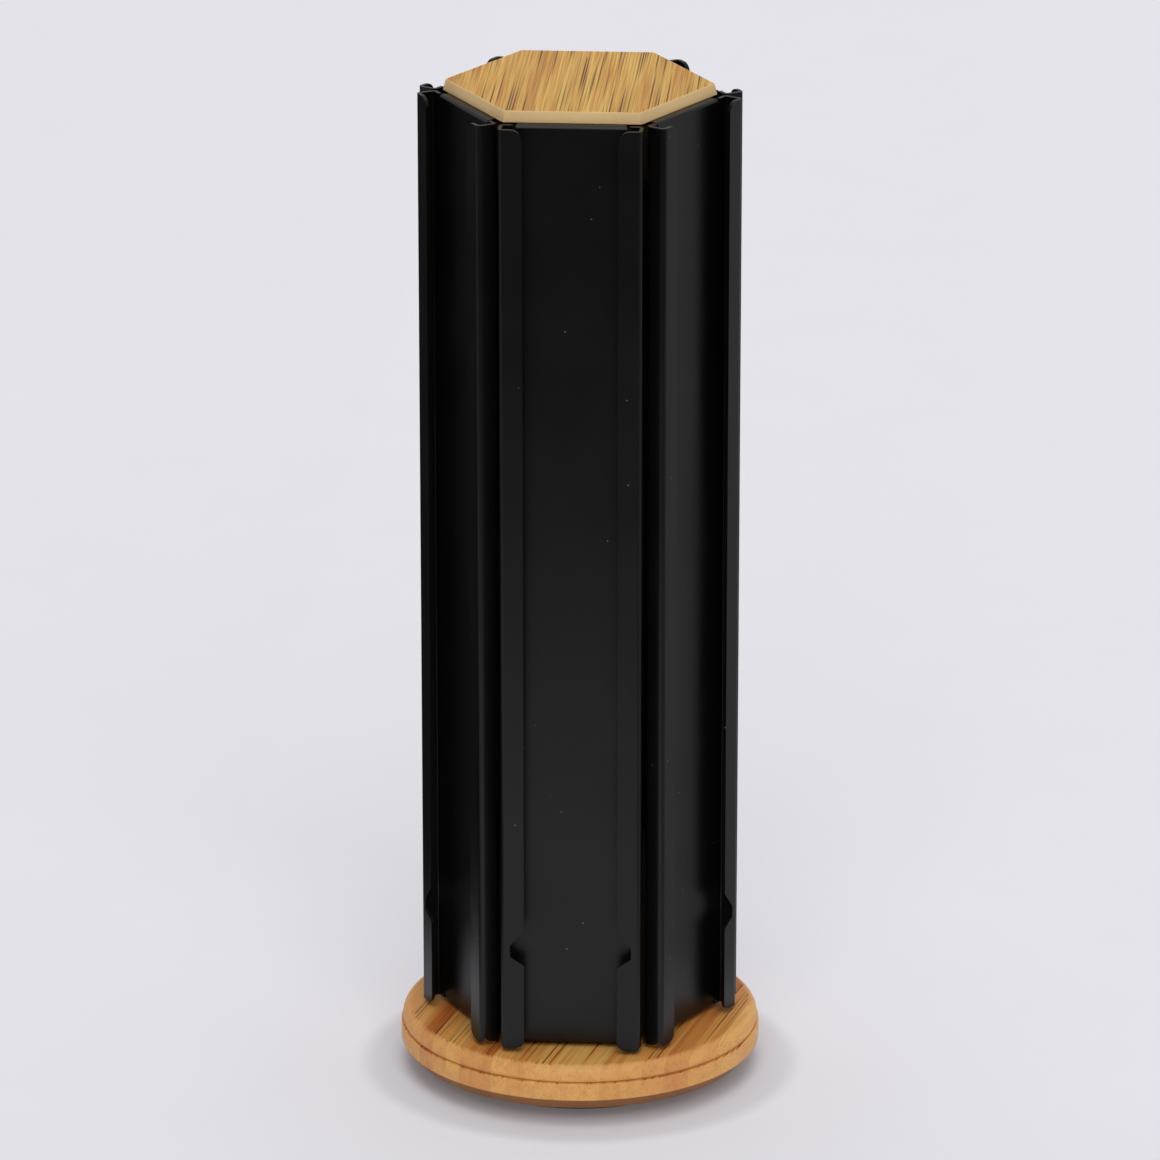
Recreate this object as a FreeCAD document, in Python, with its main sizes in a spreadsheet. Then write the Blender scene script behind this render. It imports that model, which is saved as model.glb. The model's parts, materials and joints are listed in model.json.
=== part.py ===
"""Revolving capsule dispenser: a hexagonal column of six bent-steel channels on a bamboo turntable.

Units are millimetres.  +Z is up, the origin is on the floor under the column's axis, and the
first channel faces -Y.  Every driving size is a cell of the "sizes" sheet.
"""
import FreeCAD
import Part
import Sketcher
import math
import os

SIDES = 6

# alias, value, what it is
SIZES = [
    ("channel_height", 320.0, "length of a channel"),
    ("channel_width", 47.0, "outside width of a channel"),
    ("channel_gap", 0.74, "gap between the bends of two channels at a corner of the column"),
    ("flange_depth", 6.1, "outer face of the back panel to the outer face of the lips"),
    ("lip_width", 7.9, "width of a returned lip"),
    ("sheet_gauge", 1.2, "thickness of the steel sheet"),
    ("bend_inside", 0.5, "inside radius of the flange and lip bends"),
    ("lip_round_top", 3.9, "rounded upper corner of a lip"),
    ("lip_round_foot", 3.2, "rounded lower corner of a lip"),
    ("bend_round_foot", 1.9, "rounded lower corner on the bend side of a lip"),
    ("notch_foot", 29.9, "channel foot to the lower end of the exit notch"),
    ("notch_low", 33.0, "channel foot to the lower end of the notch's upright"),
    ("notch_high", 37.0, "channel foot to the upper end of the notch's upright"),
    ("notch_head", 42.6, "channel foot to the upper end of the exit notch"),
    ("notch_depth", 4.7, "depth of the exit notch in a lip"),
    ("notch_round", 0.5, "rounding of the notch's corners"),
    ("tab_shoulder", 5.5, "side of the channel to the side of a fixing tab at its fold"),
    ("tab_taper", 3.5, "how far each side of a tab draws in towards its free end"),
    ("tab_reach", 13.0, "outer face of the back panel to the tab's free end"),
    ("tab_fold_round", 1.0, "outside radius of the tab's fold"),
    ("relief_width", 1.0, "width of the bend relief beside a tab"),
    ("relief_depth", 1.8, "depth of the bend relief beside a tab"),
    ("tab_screw_spread", 9.0, "middle of a tab to each of its two screws"),
    ("tab_screw_inset", 8.0, "outer face of the back panel to the tab screws"),
    ("tab_screw_radius", 1.5, "shank radius of a tab screw"),
    ("tab_screw_length", 12.0, "length of a tab screw"),
    ("tab_screw_head", 1.1, "height and flare of a tab screw's countersunk head"),
    ("cap_rise", 3.8, "height of the cap above the channels"),
    ("cap_inset", 0.9, "back of a channel's panel to the foot of the cap's side"),
    ("cap_flare", 0.8, "how far the cap's sides lean out towards their foot"),
    ("cap_edge_round", 0.3, "eased edge round the cap's top"),
    ("boss_radius", 22.0, "radius of the locating boss under the cap"),
    ("boss_seat", 1.8, "how far the boss goes up into the cap"),
    ("boss_slack", 0.1, "gap round the boss in the cap's seat"),
    ("top_block_height", 18.0, "height of the hexagonal block at the top"),
    ("foot_block_height", 45.5, "height of the hexagonal block at the foot"),
    ("block_corner", 6.0, "flat across the eased corners of both blocks"),
    ("column_gap", 1.6, "clearance between the channels and the base"),
    ("spacer_radius", 24.0, "radius of the packing disc under the foot block"),
    ("base_radius", 61.2, "radius of the round base"),
    ("base_thickness", 16.0, "thickness of the round base"),
    ("base_crown_width", 3.5, "width of the rounded upper edge of the base"),
    ("base_crown_height", 5.3, "height of the rounded upper edge of the base"),
    ("base_quirk", 0.6, "small step under the rounded upper edge of the base"),
    ("base_foot_round", 4.0, "radius of the rounded lower edge of the base"),
    ("base_raise", 5.3, "floor to the underside of the base"),
    ("base_screw_circle", 15.0, "radius of the circle of base screws"),
    ("base_screw_radius", 2.0, "shank radius of a base screw"),
    ("base_screw_bite", 25.0, "how far a base screw goes into the foot block"),
    ("base_screw_head", 1.8, "height and flare of a base screw's countersunk head"),
    ("foot_height", 1.5, "height of the rubber foot ring"),
    ("foot_width", 10.0, "width of the rubber foot ring"),
    ("foot_inset", 2.0, "edge of the lower plate to the foot ring"),
    ("plate_inset", 14.0, "edge of the base to the edge of the turntable plates"),
    ("plate_gauge", 1.5, "thickness of both turntable plates"),
    ("recess_slack", 1.5, "gap round the turntable in the base's recess"),
    ("race_inset", 10.0, "edge of the plates to the circle of bearing balls"),
    ("ball_radius", 2.0, "radius of a bearing ball"),
    ("ball_slack", 0.05, "running clearance round a ball"),
    ("race_depth", 0.6, "depth of the ball race in each plate"),
    ("cage_width", 8.0, "width of the ball cage ring"),
    ("cage_gauge", 1.6, "thickness of the ball cage ring"),
    ("pin_radius", 4.0, "radius of the turntable's centre rivet"),
    ("pin_slack", 0.05, "running clearance round the centre rivet"),
    ("pin_head_radius", 7.0, "radius of the centre rivet's heads"),
    ("pin_head_height", 1.0, "height of the centre rivet's heads"),
    ("pin_lift", 0.1, "end float under the centre rivet's upper head"),
    ("head_pocket_slack", 1.0, "gap round the rivet's upper head in the base"),
    ("plate_screw_inset", 11.0, "circle of bearing balls to the circle of plate screws"),
    ("plate_screw_radius", 1.75, "shank radius of a plate screw"),
    ("plate_screw_bite", 7.0, "how far a plate screw goes into the base"),
    ("plate_screw_head", 3.2, "head radius of a plate screw"),
    ("plate_screw_head_height", 1.5, "head height of a plate screw"),
    ("access_hole", 4.5, "radius of the hole that a plate screw is driven through"),
]
BALLS = 14
PLATE_SCREWS = 4
BASE_SCREWS = 3

# Radii, widths and levels worked out from the sizes above, each as a spreadsheet formula.
WORKED_OUT = [
    ("bend_outside", "bend_inside + sheet_gauge"),
    ("bend_middle", "channel_width / 2 - bend_outside"),
    ("column_apothem", "(bend_outside + channel_gap / 2 + bend_middle * cos(30)) / sin(30) - bend_inside"),
    ("block_apothem", "column_apothem - sheet_gauge"),
    ("cap_apothem", "block_apothem - cap_inset - cap_flare"),
    ("tab_fold_width", "channel_width - 2 * tab_shoulder"),
    ("tab_end_width", "tab_fold_width - 2 * tab_taper"),
    ("plate_radius", "base_radius - plate_inset"),
    ("foot_outer", "plate_radius - foot_inset"),
    ("foot_inner", "foot_outer - foot_width"),
    ("ball_circle", "plate_radius - race_inset"),
    ("plate_screw_circle", "ball_circle - plate_screw_inset"),
    ("lower_plate_top", "foot_height + plate_gauge"),
    ("ball_level", "lower_plate_top - race_depth + ball_radius + ball_slack"),
    ("upper_plate_foot", "ball_level + ball_radius + ball_slack - race_depth"),
    ("upper_plate_top", "upper_plate_foot + plate_gauge"),
    ("base_top", "base_raise + base_thickness"),
    ("channel_foot", "base_top + column_gap"),
    ("channel_top", "channel_foot + channel_height"),
    ("foot_block_foot", "channel_foot + sheet_gauge"),
    ("foot_block_top", "foot_block_foot + foot_block_height"),
    ("top_block_top", "channel_top - sheet_gauge"),
    ("top_block_foot", "top_block_top - top_block_height"),
]

ALIASES = {line[0] for line in SIZES} | {line[0] for line in WORKED_OUT}

doc = FreeCAD.newDocument("capsule_dispenser")
sizes = doc.addObject("Spreadsheet::Sheet", "sizes")
for row, (alias, value, note) in enumerate(SIZES, start=1):
    sizes.set(f"A{row}", alias)
    sizes.set(f"B{row}", str(value))
    sizes.set(f"C{row}", note)
    sizes.setAlias(f"B{row}", alias)
for row, (alias, formula) in enumerate(WORKED_OUT, start=len(SIZES) + 1):
    sizes.set(f"A{row}", alias)
    sizes.set(f"B{row}", "=" + formula)
    sizes.setAlias(f"B{row}", alias)
doc.recompute()


def size(alias):
    """The number in one cell of the sheet."""
    return float(getattr(sizes, alias))


def cells(formula):
    """A formula in aliases, with every alias pointed at the sheet."""
    words = []
    word = ""
    for letter in formula + " ":
        if letter.isalpha() or letter == "_":
            word += letter
            continue
        if word:
            words.append("sizes." + word if word in ALIASES else word)
            word = ""
        words.append(letter)
    return "".join(words).strip()


def bind(thing, **formulas):
    """Tie properties to formulas in the sheet's aliases."""
    for name, formula in formulas.items():
        thing.setExpression(name, cells(formula))


# ---------------------------------------------------------------- sketches and features

nodes = []


def new_body(label):
    body = doc.addObject("PartDesign::Body", label)
    body.Label = label
    nodes.append(body)
    return body


def new_sketch(body, name, role, level="0"):
    """A sketch on one of the body's own origin planes, moved out along the plane's normal."""
    plane = [item for item in body.Origin.OriginFeatures if item.Role == role][0]
    sketch = body.newObject("Sketcher::SketchObject", f"{body.Name}_{name}")
    sketch.AttachmentSupport = [(plane, "")]
    sketch.MapMode = "FlatFace"
    sketch.setExpression("AttachmentOffset.Base.z", cells(level))
    return sketch


def value_of(formula):
    """The value that the sheet gives for a formula."""
    answer = sizes.evalExpression(formula)
    return float(getattr(answer, "Value", answer))


def pin_point(sketch, geometry, point, place):
    """Hold one sketch point at a pair of formulas, measured from the sketch's origin."""
    for kind, axis, formula in (("DistanceX", -2, place[0]), ("DistanceY", -1, place[1])):
        if formula == "0":
            sketch.addConstraint(Sketcher.Constraint("PointOnObject", geometry, point, axis))
            continue
        index = sketch.addConstraint(
            Sketcher.Constraint(kind, -1, 1, geometry, point, value_of(formula)))
        sketch.setExpression(f"Constraints[{index}]", cells(formula))


def draw_outline(sketch, corners):
    """A closed outline.  A corner is (x, y), or (x, y, hub_x, hub_y) where an arc leads to it."""
    places = [FreeCAD.Vector(value_of(c[0]), value_of(c[1]), 0) for c in corners]
    count = len(corners)
    first = sketch.GeometryCount
    ends = []
    for index, corner in enumerate(corners):
        begin = places[index - 1]
        end = places[index]
        if len(corner) == 2:
            sketch.addGeometry(Part.LineSegment(begin, end), False)
            ends.append((1, 2))
            continue
        hub = FreeCAD.Vector(value_of(corner[2]), value_of(corner[3]), 0)
        outwards = (begin + end) * 0.5 - hub
        middle = hub + outwards * ((end - hub).Length / outwards.Length)
        sketch.addGeometry(Part.ArcOfCircle(begin, middle, end), False)
        turns_left = (middle - begin).cross(end - middle).z > 0
        ends.append((1, 2) if turns_left else (2, 1))
        held = sketch.addConstraint(
            Sketcher.Constraint("DistanceY", -1, 1, first + index, 3, hub.y))
        sketch.setExpression(f"Constraints[{held}]", cells(corner[3]))
    for index in range(count):
        following = (index + 1) % count
        sketch.addConstraint(Sketcher.Constraint(
            "Coincident", first + index, ends[index][1], first + following, ends[following][0]))
        pin_point(sketch, first + index, ends[index][1], corners[index])


def draw_circle(sketch, x, y, radius):
    """A circle whose middle and radius are formulas."""
    middle = FreeCAD.Vector(value_of(x), value_of(y), 0)
    circle = Part.Circle(middle, FreeCAD.Vector(0, 0, 1), value_of(radius))
    index = sketch.addGeometry(circle, False)
    pin_point(sketch, index, 3, (x, y))
    held = sketch.addConstraint(Sketcher.Constraint("Radius", index, value_of(radius)))
    sketch.setExpression(f"Constraints[{held}]", cells(radius))


def add_pad(body, sketch, length):
    pad = body.newObject("PartDesign::Pad", f"{sketch.Name}_pad")
    pad.Profile = sketch
    bind(pad, Length=length)
    doc.recompute()
    return pad


def add_pocket(body, sketch, length, upwards=False):
    """A cut against the sketch's normal, or along it.  It has to take material away."""
    before = body.Shape.Volume
    pocket = body.newObject("PartDesign::Pocket", f"{sketch.Name}_pocket")
    pocket.Profile = sketch
    pocket.Reversed = upwards
    bind(pocket, Length=length)
    doc.recompute()
    if not pocket.Shape.Volume < before:
        raise ValueError(f"{pocket.Name} cuts nothing")
    return pocket


def add_turned(body, sketch):
    """A solid of revolution about Z, from a half section on the XZ plane."""
    turned = body.newObject("PartDesign::Revolution", f"{sketch.Name}_turned")
    turned.Profile = sketch
    turned.ReferenceAxis = (sketch, ["V_Axis"])
    turned.Angle = 360
    doc.recompute()
    return turned


def add_ring_of(body, feature, sketch, count):
    """Repeat a feature about the sketch's normal axis through the origin."""
    ring = body.newObject("PartDesign::PolarPattern", f"{feature.Name}_ring")
    ring.Originals = [feature]
    ring.Axis = (sketch, ["N_Axis"])
    ring.Angle = 360
    ring.Occurrences = count
    body.Tip = ring
    doc.recompute()
    return ring


def find_edges(shape, wanted):
    """Names of the edges whose middle and direction pass the test."""
    names = []
    for index, edge in enumerate(shape.Edges, start=1):
        first, last = edge.Vertexes[0].Point, edge.Vertexes[-1].Point
        middle = (first + last) * 0.5
        along = last - first
        if wanted(edge, middle, along):
            names.append(f"Edge{index}")
    return names


def add_rounding(body, base, wanted, radius):
    names = find_edges(base.Shape, wanted)
    if not names:
        raise ValueError(f"{base.Name} has no such edge")
    rounding = body.newObject("PartDesign::Fillet", f"{base.Name}_round")
    rounding.Base = (base, names)
    bind(rounding, Radius=radius)
    doc.recompute()
    return rounding


def near(a, b):
    return abs(a - b) < 0.01


# ---------------------------------------------------------------- the bent steel channels

def draw_notch(sketch, side):
    """The exit notch, open towards the middle of the channel."""
    lip_edge = f"{side}(channel_width / 2 - lip_width)"
    inside = f"{side}(channel_width / 2 - lip_width + notch_depth)"
    clear = f"{side}(channel_width / 2 - lip_width - relief_width)"
    corners = [(clear, "notch_head"), (lip_edge, "notch_head"), (inside, "notch_high"),
               (inside, "notch_low"), (lip_edge, "notch_foot"), (clear, "notch_foot")]
    draw_outline(sketch, corners)


def draw_bend_corner(sketch, side):
    """What is cut off the foot of a lip at its bend."""
    edge = f"{side}(channel_width / 2)"
    start = f"{side}(channel_width / 2 - bend_round_foot)"
    draw_outline(sketch, [(start, "0", start, "bend_round_foot"), (edge, "0"),
                          (edge, "bend_round_foot")])


def draw_relief(sketch, side, foot, head):
    """The slot beside a tab that lets it fold."""
    near_side = f"{side}(tab_fold_width / 2)"
    far_side = f"{side}(tab_fold_width / 2 + relief_width)"
    draw_outline(sketch, [(near_side, foot), (far_side, foot), (far_side, head), (near_side, head)])


def make_channel(label):
    """One channel, modelled facing -Y with its foot at z = 0."""
    body = new_body(label)
    width = size("channel_width") / 2
    panel = size("column_apothem")
    front = panel + size("flange_depth")
    gauge = size("sheet_gauge")
    height = size("channel_height")
    lip_edge = width - size("lip_width")

    section = new_sketch(body, "section", "XY_Plane")
    half = "channel_width / 2"
    lip = "channel_width / 2 - lip_width"
    out_face = "-(column_apothem + flange_depth)"
    in_face = "-(column_apothem + flange_depth - sheet_gauge)"
    right = [(lip, out_face), (lip, in_face), (f"{half} - sheet_gauge", in_face),
             (f"{half} - sheet_gauge", "-column_apothem")]
    left = [(f"-({x})", y) for x, y in reversed(right)]
    back = [(f"-({half})", "-(column_apothem - sheet_gauge)"), (half, "-(column_apothem - sheet_gauge)")]
    draw_outline(section, right + left + [(f"-({half})", out_face)] + back + [(half, out_face)])
    strip = add_pad(body, section, "channel_height")

    outer = (panel - gauge, front)
    inner = (panel, front - gauge)
    strip = add_rounding(
        body, strip, lambda edge, at, along: near(abs(along.z), height)
        and near(abs(at.x), width) and (near(-at.y, outer[0]) or near(-at.y, outer[1])),
        "bend_outside")
    strip = add_rounding(
        body, strip, lambda edge, at, along: near(abs(along.z), height)
        and near(abs(at.x), width - gauge) and (near(-at.y, inner[0]) or near(-at.y, inner[1])),
        "bend_inside")

    for level, radius in ((height, "lip_round_top"), (0.0, "lip_round_foot")):
        strip = add_rounding(
            body, strip, lambda edge, at, along: near(abs(at.x), lip_edge)
            and near(at.z, level) and near(abs(along.y), gauge), radius)

    corners = new_sketch(body, "corners", "XZ_Plane", "column_apothem + flange_depth")
    draw_bend_corner(corners, "")
    draw_bend_corner(corners, "-")
    add_pocket(body, corners, "bend_outside")

    notches = new_sketch(body, "notches", "XZ_Plane", "column_apothem + flange_depth")
    draw_notch(notches, "")
    draw_notch(notches, "-")
    strip = add_pocket(body, notches, "sheet_gauge")
    strip = add_rounding(
        body, strip, lambda edge, at, along: near(abs(along.y), gauge) and -at.y > panel
        and size("notch_foot") - 1 < at.z < size("notch_head") + 1, "notch_round")

    relief = new_sketch(body, "relief", "XZ_Plane", "column_apothem")
    for side in ("", "-"):
        draw_relief(relief, side, "channel_height - relief_depth", "channel_height")
        draw_relief(relief, side, "0", "relief_depth")
    add_pocket(body, relief, "sheet_gauge")

    fold = "tab_fold_width / 2"
    end = "tab_end_width / 2"
    tab_outline = [(fold, "-(column_apothem - sheet_gauge)"), (end, "-(column_apothem - tab_reach)"),
                   (f"-({end})", "-(column_apothem - tab_reach)"),
                   (f"-({fold})", "-(column_apothem - sheet_gauge)")]
    for name, level in (("top_tab", "channel_height - sheet_gauge"), ("foot_tab", "0")):
        tab = new_sketch(body, name, "XY_Plane", level)
        draw_outline(tab, tab_outline)
        strip = add_pad(body, tab, "sheet_gauge")
    for level in (height, 0.0):
        strip = add_rounding(
            body, strip, lambda edge, at, along: near(abs(along.x), size("tab_fold_width"))
            and near(-at.y, panel) and near(at.z, level), "tab_fold_round")

    for name, level in (("top_holes", "channel_height"), ("foot_holes", "sheet_gauge")):
        holes = new_sketch(body, name, "XY_Plane", level)
        for side in ("", "-"):
            draw_circle(holes, f"{side}tab_screw_spread", "-(column_apothem - tab_screw_inset)",
                        "tab_screw_radius")
        strip = add_pocket(body, holes, "sheet_gauge")
    for level in (height, 0.0):
        names = find_edges(strip.Shape, lambda edge, at, along: near(at.z, level)
                           and edge.Curve.TypeId == "Part::GeomCircle"
                           and near(edge.Curve.Radius, size("tab_screw_radius")))
        flare = body.newObject("PartDesign::Chamfer", f"{strip.Name}_sunk")
        flare.Base = (strip, names)
        bind(flare, Size="tab_screw_head")
        doc.recompute()
        strip = flare
    return body


for number in range(SIDES):
    channel = make_channel(f"channel_{number + 1}")
    turn = FreeCAD.Rotation(FreeCAD.Vector(0, 0, 1), 360.0 / SIDES * number)
    channel.Placement = FreeCAD.Placement(FreeCAD.Vector(0, 0, size("channel_foot")), turn)


# ---------------------------------------------------------------- wooden blocks and cap

def draw_hexagon(sketch, apothem):
    """A hexagon with two sides square to Y."""
    corner = f"({apothem}) / cos(30)"
    half = f"({apothem}) * tan(30)"
    draw_outline(sketch, [(corner, "0"), (half, apothem), (f"-({half})", apothem),
                          (f"-({corner})", "0"), (f"-({half})", f"-({apothem})"),
                          (half, f"-({apothem})")])


def make_block(label, foot, height, holes_from_top):
    """A hexagonal block that six channels are screwed to, with eased upright corners."""
    body = new_body(label)
    outline = new_sketch(body, "outline", "XY_Plane", foot)
    draw_hexagon(outline, "block_apothem")
    block = add_pad(body, outline, height)
    corners = find_edges(block.Shape, lambda edge, at, along: near(abs(along.z), edge.Length))
    easing = body.newObject("PartDesign::Chamfer", f"{label}_easing")
    easing.Base = (block, corners)
    bind(easing, Size="block_corner")
    doc.recompute()
    level = f"{foot} + {height}" if holes_from_top else foot
    holes = new_sketch(body, "holes", "XY_Plane", level)
    for side in ("", "-"):
        draw_circle(holes, f"{side}tab_screw_spread", "-(column_apothem - tab_screw_inset)",
                    "tab_screw_radius")
    bored = add_pocket(body, holes, "tab_screw_length - sheet_gauge", upwards=not holes_from_top)
    add_ring_of(body, bored, holes, SIDES)
    return body


top_block = make_block("top_block", "top_block_foot", "top_block_height", True)
boss = new_sketch(top_block, "boss", "XY_Plane", "top_block_top")
draw_circle(boss, "0", "0", "boss_radius")
add_pad(top_block, boss, "sheet_gauge + boss_seat")

foot_block = make_block("foot_block", "foot_block_foot", "foot_block_height", False)
screw_holes = new_sketch(foot_block, "base_screw_holes", "XY_Plane", "foot_block_foot")
draw_circle(screw_holes, "0", "base_screw_circle", "base_screw_radius")
bored = add_pocket(foot_block, screw_holes, "base_screw_bite", upwards=True)
add_ring_of(foot_block, bored, screw_holes, BASE_SCREWS)

cap = new_body("cap")
outline = new_sketch(cap, "outline", "XY_Plane", "channel_top")
draw_hexagon(outline, "cap_apothem + cap_flare")
board = add_pad(cap, outline, "cap_rise")
bind(board, TaperAngle="-atan(cap_flare / cap_rise)")
doc.recompute()
add_rounding(cap, board, lambda edge, at, along: near(at.z, size("channel_top") + size("cap_rise")),
             "cap_edge_round")
seat = new_sketch(cap, "seat", "XY_Plane", "channel_top")
draw_circle(seat, "0", "0", "boss_radius + boss_slack")
add_pocket(cap, seat, "boss_seat", upwards=True)

spacer = new_body("packing_disc")
outline = new_sketch(spacer, "outline", "XY_Plane", "base_top")
draw_circle(outline, "0", "0", "spacer_radius")
add_pad(spacer, outline, "column_gap + sheet_gauge")
screw_holes = new_sketch(spacer, "screw_holes", "XY_Plane", "base_top")
draw_circle(screw_holes, "0", "base_screw_circle", "base_screw_radius")
bored = add_pocket(spacer, screw_holes, "column_gap + sheet_gauge", upwards=True)
add_ring_of(spacer, bored, screw_holes, BASE_SCREWS)


# ---------------------------------------------------------------- the round base

base = new_body("base_disc")
profile = new_sketch(base, "profile", "XZ_Plane")
crown_foot = "base_top - base_crown_height"
crown_radius = "(base_crown_width ^ 2 + base_crown_height ^ 2) / (2 * base_crown_width)"
recess = "plate_radius + recess_slack"
head_pocket = "pin_head_radius + head_pocket_slack"
head_space = "upper_plate_top + pin_lift + pin_head_height + head_pocket_slack"
draw_outline(profile, [
    ("0", head_space),
    ("0", "base_top"),
    ("base_radius - base_quirk - base_crown_width", "base_top"),
    ("base_radius - base_quirk", crown_foot,
     f"base_radius - base_quirk - {crown_radius}", crown_foot),
    ("base_radius", f"{crown_foot} - base_quirk"),
    ("base_radius", "base_raise + base_foot_round"),
    ("base_radius - base_foot_round", "base_raise",
     "base_radius - base_foot_round", "base_raise + base_foot_round"),
    (recess, "base_raise"),
    (recess, "upper_plate_top"),
    (head_pocket, "upper_plate_top"),
    (head_pocket, head_space),
])
add_turned(base, profile)
plate_holes = new_sketch(base, "plate_screw_holes", "XY_Plane", "upper_plate_top")
draw_circle(plate_holes, "0", "plate_screw_circle", "plate_screw_radius")
bored = add_pocket(base, plate_holes, "plate_screw_bite", upwards=True)
add_ring_of(base, bored, plate_holes, PLATE_SCREWS)
screw_holes = new_sketch(base, "base_screw_holes", "XY_Plane", "upper_plate_top")
draw_circle(screw_holes, "0", "base_screw_circle", "base_screw_radius")
bored = add_pocket(base, screw_holes, "base_top - upper_plate_top", upwards=True)
ring = add_ring_of(base, bored, screw_holes, BASE_SCREWS)
names = find_edges(ring.Shape, lambda edge, at, along: near(at.z, size("upper_plate_top"))
                   and edge.Curve.TypeId == "Part::GeomCircle"
                   and near(edge.Curve.Radius, size("base_screw_radius")))
sunk = base.newObject("PartDesign::Chamfer", "base_disc_sunk")
sunk.Base = (ring, names)
bind(sunk, Size="base_screw_head")
doc.recompute()


# ---------------------------------------------------------------- the ball-bearing turntable

def race_profile(hub, foot, top, opens_up):
    """Half section of a flat plate with a round ball race in one face."""
    reach = "sqrt((ball_radius + ball_slack) ^ 2 - (ball_radius + ball_slack - race_depth) ^ 2)"
    near_edge = f"ball_circle - {reach}"
    far_edge = f"ball_circle + {reach}"
    if opens_up:
        return [(hub, foot), ("plate_radius", foot), ("plate_radius", top), (far_edge, top),
                (near_edge, top, "ball_circle", "ball_level"), (hub, top)]
    return [(hub, foot), (near_edge, foot), (far_edge, foot, "ball_circle", "ball_level"),
            ("plate_radius", foot), ("plate_radius", top), (hub, top)]


lower_plate = new_body("turntable_lower_plate")
profile = new_sketch(lower_plate, "profile", "XZ_Plane")
draw_outline(profile, race_profile("pin_radius", "foot_height", "lower_plate_top", True))
add_turned(lower_plate, profile)
access = new_sketch(lower_plate, "access", "XY_Plane", "foot_height")
draw_circle(access, "0", "plate_screw_circle", "access_hole")
add_pocket(lower_plate, access, "plate_gauge", upwards=True)

upper_plate = new_body("turntable_upper_plate")
profile = new_sketch(upper_plate, "profile", "XZ_Plane")
draw_outline(profile, race_profile("pin_radius + pin_slack", "upper_plate_foot", "upper_plate_top",
                                   False))
add_turned(upper_plate, profile)
plate_holes = new_sketch(upper_plate, "screw_holes", "XY_Plane", "upper_plate_foot")
draw_circle(plate_holes, "0", "plate_screw_circle", "plate_screw_radius")
bored = add_pocket(upper_plate, plate_holes, "plate_gauge", upwards=True)
add_ring_of(upper_plate, bored, plate_holes, PLATE_SCREWS)

rivet = new_body("centre_rivet")
profile = new_sketch(rivet, "profile", "XZ_Plane")
head_foot = "upper_plate_top + pin_lift"
draw_outline(profile, [
    ("0", "foot_height - pin_head_height"),
    ("pin_head_radius", "foot_height - pin_head_height"),
    ("pin_head_radius", "foot_height"),
    ("pin_radius", "foot_height"),
    ("pin_radius", head_foot),
    ("pin_head_radius", head_foot),
    ("pin_head_radius", f"{head_foot} + pin_head_height"),
    ("0", f"{head_foot} + pin_head_height"),
])
add_turned(rivet, profile)

foot_ring = new_body("foot_ring")
profile = new_sketch(foot_ring, "profile", "XY_Plane")
draw_circle(profile, "0", "0", "foot_outer")
draw_circle(profile, "0", "0", "foot_inner")
add_pad(foot_ring, profile, "foot_height")

cage = new_body("ball_cage")
profile = new_sketch(cage, "profile", "XY_Plane", "ball_level - cage_gauge / 2")
draw_circle(profile, "0", "0", "ball_circle + cage_width / 2")
draw_circle(profile, "0", "0", "ball_circle - cage_width / 2")
add_pad(cage, profile, "cage_gauge")
pockets = new_sketch(cage, "pockets", "XY_Plane", "ball_level - cage_gauge / 2")
draw_circle(pockets, "0", "ball_circle", "ball_radius")
bored = add_pocket(cage, pockets, "cage_gauge", upwards=True)
add_ring_of(cage, bored, pockets, BALLS)


# ---------------------------------------------------------------- balls and screws, in groups

def new_group(label, pieces):
    group = doc.addObject("Part::Compound", label)
    group.Label = label
    group.Links = pieces
    nodes.append(group)


def make_screw(name, place, points_down, shank, length, head_radius, head_height, sunk_head):
    """A screw whose head's outer face is at the given place.  Sizes are formulas."""
    turn = FreeCAD.Rotation(FreeCAD.Vector(1, 0, 0), 180 if points_down else 0)
    stem = doc.addObject("Part::Cylinder", name + "_stem")
    bind(stem, Radius=shank, Height=length)
    if sunk_head:
        head = doc.addObject("Part::Cone", name + "_head")
        bind(head, Radius1=head_radius, Radius2=shank, Height=head_height)
    else:
        head = doc.addObject("Part::Cylinder", name + "_head")
        bind(head, Radius=head_radius, Height=head_height)
    screw = doc.addObject("Part::Fuse", name)
    screw.Base = stem
    screw.Tool = head
    screw.Placement = FreeCAD.Placement(place, turn)
    return screw


def around(radius, count, level, first=90.0):
    """Places evenly spaced on a circle about Z."""
    for number in range(count):
        angle = math.radians(first + 360.0 / count * number)
        yield FreeCAD.Vector(radius * math.cos(angle), radius * math.sin(angle), level)


def tab_screw_places(level):
    """Two places on every channel's tab."""
    inset = size("column_apothem") - size("tab_screw_inset")
    for number in range(SIDES):
        turn = FreeCAD.Rotation(FreeCAD.Vector(0, 0, 1), 360.0 / SIDES * number)
        for side in (-1, 1):
            yield turn.multVec(FreeCAD.Vector(side * size("tab_screw_spread"), -inset, level))


for label, level, points_down in (("top_tab_screws", "channel_top", True),
                                  ("foot_tab_screws", "channel_foot", False)):
    places = tab_screw_places(size(level))
    new_group(label, [
        make_screw(f"{label}_{number}", place, points_down, "tab_screw_radius", "tab_screw_length",
                   "tab_screw_radius + tab_screw_head", "tab_screw_head", True)
        for number, place in enumerate(places, start=1)])

base_screw_length = "base_top - upper_plate_top + column_gap + sheet_gauge + base_screw_bite"
new_group("base_screws", [
    make_screw(f"base_screw_{number}", place, False, "base_screw_radius", base_screw_length,
               "base_screw_radius + base_screw_head", "base_screw_head", True)
    for number, place in enumerate(
        around(size("base_screw_circle"), BASE_SCREWS, size("upper_plate_top")), start=1)])

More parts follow.
